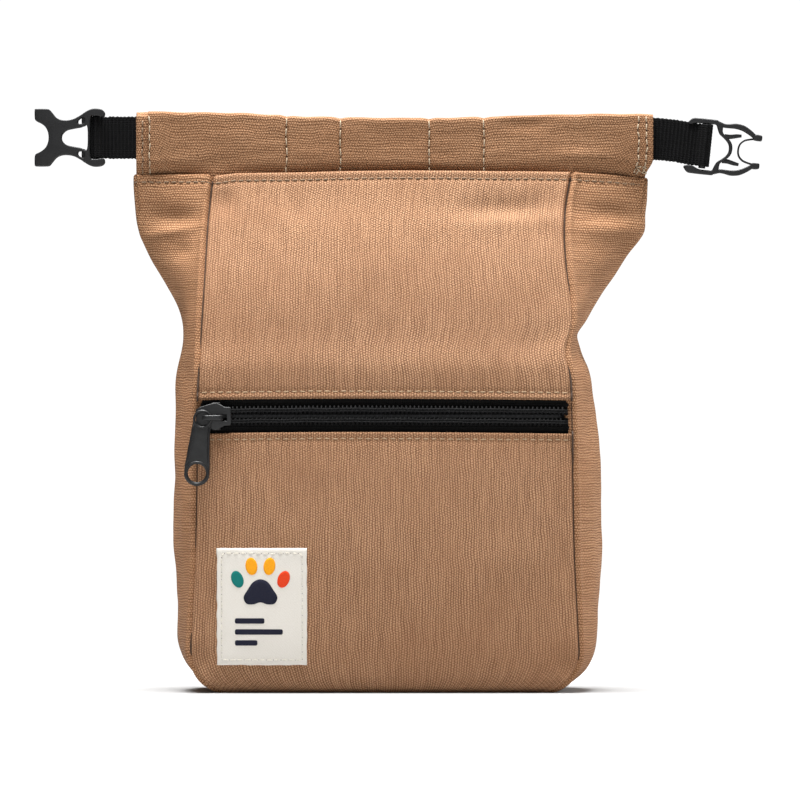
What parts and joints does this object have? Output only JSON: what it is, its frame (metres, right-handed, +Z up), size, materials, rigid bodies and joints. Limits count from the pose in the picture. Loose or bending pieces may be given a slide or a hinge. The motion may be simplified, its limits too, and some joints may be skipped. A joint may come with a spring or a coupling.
{
  "type": "treat pouch",
  "caption": "Waxed-canvas roll-top treat pouch with a zipped front pocket, a stiffened fold-over collar and a side-release buckle on two short webbing straps.",
  "frame": {"origin": "middle of the flat base, on the surface the pouch stands on", "axes": "+Z up out of the mouth, -Y out of the zipped front, +X to the right seen from the front, towards the plug half of the buckle"},
  "size_m": [0.261, 0.0658, 0.2085],
  "materials": {
    "canvas": "plain-weave waxed cotton canvas, tan brown",
    "liner": "coated nylon, dark grey, slight sheen",
    "zip_tape": "woven polyester tape, black",
    "zip_coil": "nylon coil, black",
    "zip_metal": "satin black coated zinc",
    "label": "smooth cream cotton twill",
    "stiffener": "flexible sheet",
    "magnet": "nickel-plated disc",
    "webbing": "black polypropylene webbing",
    "buckle": "moulded acetal, satin black"
  },
  "bodies": {
    "pouch": {"front_upper_panel": "canvas", "front_lower_panel": "canvas", "gusset_left": "canvas", "gusset_right": "canvas", "back_panel": "canvas", "bottom_panel": "canvas", "liner": "liner", "pocket_back": "liner", "zipper_tape_upper": "zip_tape", "zipper_tape_lower": "zip_tape", "zipper_coil_upper": "zip_coil", "zipper_coil_lower": "zip_coil", "label_patch": "label", "belt_loop_left": "webbing", "belt_loop_right": "webbing"},
    "slider": {"slider_body": "zip_metal"},
    "pull": {"pull_tab": "zip_metal"},
    "collar": {"collar_front": "canvas", "collar_back": "canvas", "stiffener_front": "stiffener", "stiffener_back": "stiffener", "magnets_front": "magnet", "magnets_back": "magnet", "webbing_anchor_left": "webbing", "webbing_anchor_right": "webbing"},
    "left_strap": {"strap_left": "webbing"},
    "right_strap": {"strap_right": "webbing"},
    "socket": {"buckle_socket": "buckle"},
    "plug": {"plug_frame": "buckle", "plug_web": "buckle"},
    "arm_upper": {"plug_arm_upper": "buckle"},
    "arm_lower": {"plug_arm_lower": "buckle"}
  },
  "joints": [
    {"name": "zip_slide", "type": "slide", "parent": "pouch", "child": "slider", "axis": [1, 0, 0], "range_m": [0, 0.118]},
    {"name": "pull_turn", "type": "hinge", "parent": "slider", "child": "pull", "pos_m": [-0.06415, -0.0287, 0.0974], "axis": [0, 0, 1], "range_deg": [0, 150]},
    {"name": "collar_fold", "type": "hinge", "parent": "pouch", "child": "collar", "pos_m": [0, -0.0074, 0.1854], "axis": [1, 0, 0], "range_deg": [0, 150]},
    {"name": "left_strap_swing", "type": "hinge", "parent": "collar", "child": "left_strap", "pos_m": [-0.0939, 0, 0.1983], "axis": [0, 0, -1], "range_deg": [-90, 90], "stiffness_Nm_per_rad": 0.004},
    {"name": "right_strap_swing", "type": "hinge", "parent": "collar", "child": "right_strap", "pos_m": [0.096, 0, 0.1973], "axis": [0.1045, 0, 0.9945], "range_deg": [-90, 90], "stiffness_Nm_per_rad": 0.004},
    {"name": "socket_turn", "type": "hinge", "parent": "left_strap", "child": "socket", "pos_m": [-0.106, 0, 0.1983], "axis": [0, 0, -1], "range_deg": [-75, 75]},
    {"name": "plug_turn", "type": "hinge", "parent": "right_strap", "child": "plug", "pos_m": [0.11211, 0, 0.19561], "axis": [0.1045, 0, 0.9945], "range_deg": [-75, 75]},
    {"name": "upper_arm_squeeze", "type": "hinge", "parent": "plug", "child": "arm_upper", "pos_m": [0.11923, 0, 0.2021], "axis": [0, 1, 0], "range_deg": [0, 6], "stiffness_Nm_per_rad": 0.05, "deforming": ["plug_web"]},
    {"name": "lower_arm_squeeze", "type": "hinge", "parent": "plug", "child": "arm_lower", "pos_m": [0.11772, 0, 0.18778], "axis": [0, -1, 0], "range_deg": [0, 6], "stiffness_Nm_per_rad": 0.05}
  ]
}
